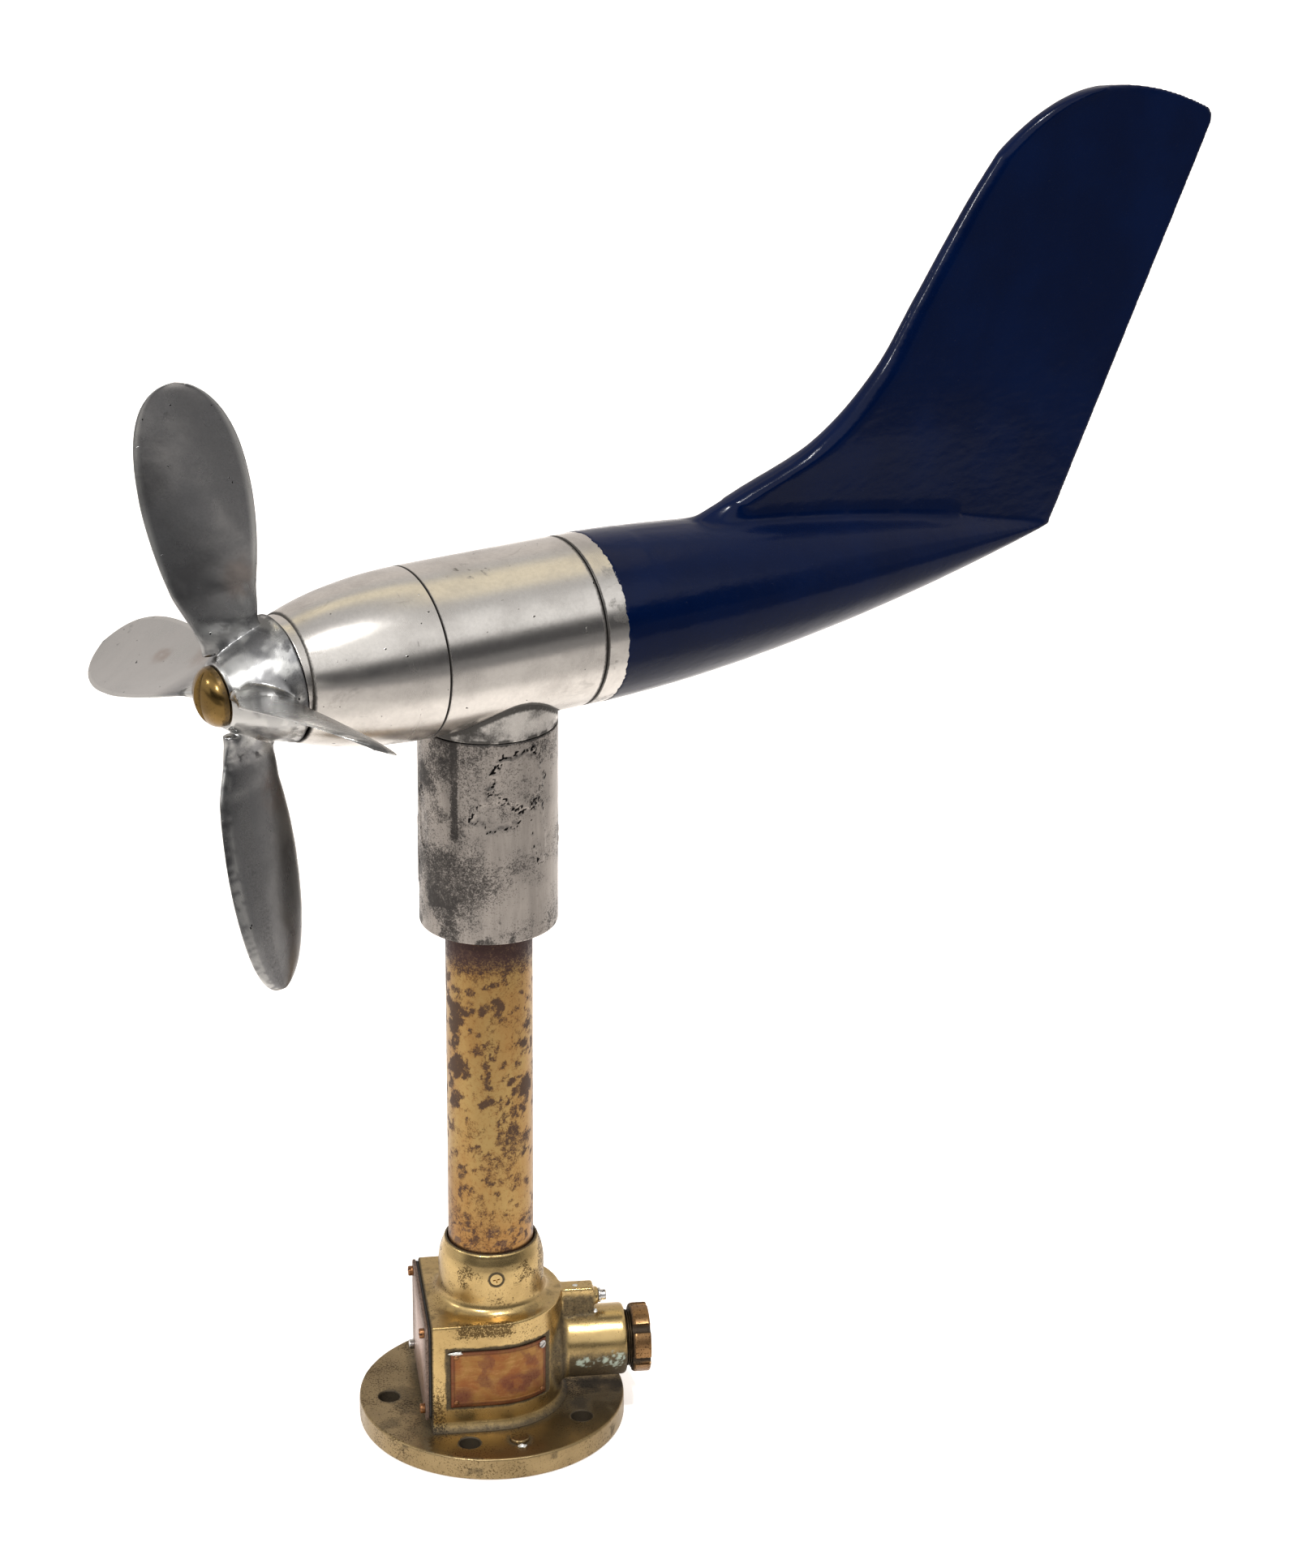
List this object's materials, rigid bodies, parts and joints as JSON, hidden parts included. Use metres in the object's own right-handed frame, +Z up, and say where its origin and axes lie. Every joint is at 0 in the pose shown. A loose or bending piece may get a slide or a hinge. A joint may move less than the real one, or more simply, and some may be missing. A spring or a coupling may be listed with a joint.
{
  "type": "vane anemometer",
  "caption": "Propeller-and-vane anemometer: a bare metal head with a propeller and a navy blue fin turns on a brass column with a terminal box, cable gland and round flange.",
  "frame": {"origin": "centre of the flange's underside, on the column's axis", "axes": "+Z up the column; +X the way the cable gland points; the cover plate faces -X and the nameplate -Y"},
  "size_m": [0.6815, 0.4252, 0.7665],
  "materials": {
    "base_brass": "polished, worn and stained",
    "tube_brass": "satin, with brown corrosion spots",
    "cover_brass": "satin",
    "plate_copper": "satin, stained",
    "screw_brass": "satin, dull",
    "nut_brass": "satin, tarnished",
    "head_aluminium": "satin, brushed and pitted",
    "blade_aluminium": "satin, mottled",
    "propeller_nut_brass": "polished",
    "skirt_aluminium": "matte, oxidised casting",
    "inner_aluminium": "satin",
    "navy_paint": "gloss paint over aluminium",
    "steel": "satin",
    "bearing_steel": "polished",
    "gasket_rubber": "matte",
    "felt": "matte",
    "copper": "satin",
    "bakelite": "satin",
    "carbon": "matte",
    "magnet_steel": "matte"
  },
  "bodies": {
    "base": {"base_flange": "base_brass", "flange_plug": "base_brass", "base_plate": "base_brass", "base_plate_screw_1": "steel", "base_plate_screw_2": "steel", "base_plate_screw_3": "steel", "base_plate_screw_4": "steel", "terminal_box": "base_brass", "side_cover": "cover_brass", "cover_gasket": "gasket_rubber", "cover_screw_1": "screw_brass", "cover_screw_2": "screw_brass", "cover_screw_3": "screw_brass", "cover_screw_4": "screw_brass", "nameplate": "plate_copper", "nameplate_rivet_1": "screw_brass", "nameplate_rivet_2": "screw_brass", "nameplate_rivet_3": "screw_brass", "nameplate_rivet_4": "steel", "gland_seal": "gasket_rubber", "gland_washer": "screw_brass", "gland_nut": "nut_brass", "earth_screw": "steel", "earth_washer": "steel", "collar_screw": "screw_brass", "transmitter_case": "inner_aluminium", "brush_block": "bakelite", "brush_1": "carbon", "brush_2": "carbon", "terminal_block": "bakelite", "column_tube": "tube_brass", "yaw_spindle": "steel", "spindle_nut": "steel", "lower_yaw_inner_race": "bearing_steel", "upper_yaw_inner_race": "bearing_steel"},
    "head": {"lower_yaw_outer_race": "bearing_steel", "upper_yaw_outer_race": "bearing_steel", "lower_yaw_ball_cage": "screw_brass", "upper_yaw_ball_cage": "screw_brass", "bearing_skirt": "skirt_aluminium", "dust_seal": "felt", "head_housing": "head_aluminium", "nose_cowl": "head_aluminium", "tail_fin": "navy_paint", "drive_rod": "steel", "slip_ring_drum": "bakelite", "slip_ring_1": "copper", "slip_ring_2": "copper", "transmitter_rotor": "steel", "generator_case": "inner_aluminium", "generator_end_cap": "inner_aluminium", "generator_coil": "copper", "front_bearing": "bearing_steel", "rear_bearing": "bearing_steel", "generator_bracket": "inner_aluminium"},
    "propeller": {"propeller": "blade_aluminium", "propeller_nut": "propeller_nut_brass", "propeller_shaft": "steel", "generator_rotor": "magnet_steel"}
  },
  "joints": [
    {"name": "head_yaw", "type": "hinge", "parent": "base", "child": "head", "pos_m": [0, 0, 0.39], "axis": [0, 0, 1], "continuous": true},
    {"name": "propeller_spin", "type": "hinge", "parent": "head", "child": "propeller", "pos_m": [-0.1162, -0.05125, 0.5015], "axis": [0.9116, 0.4021, 0.0854], "continuous": true}
  ]
}
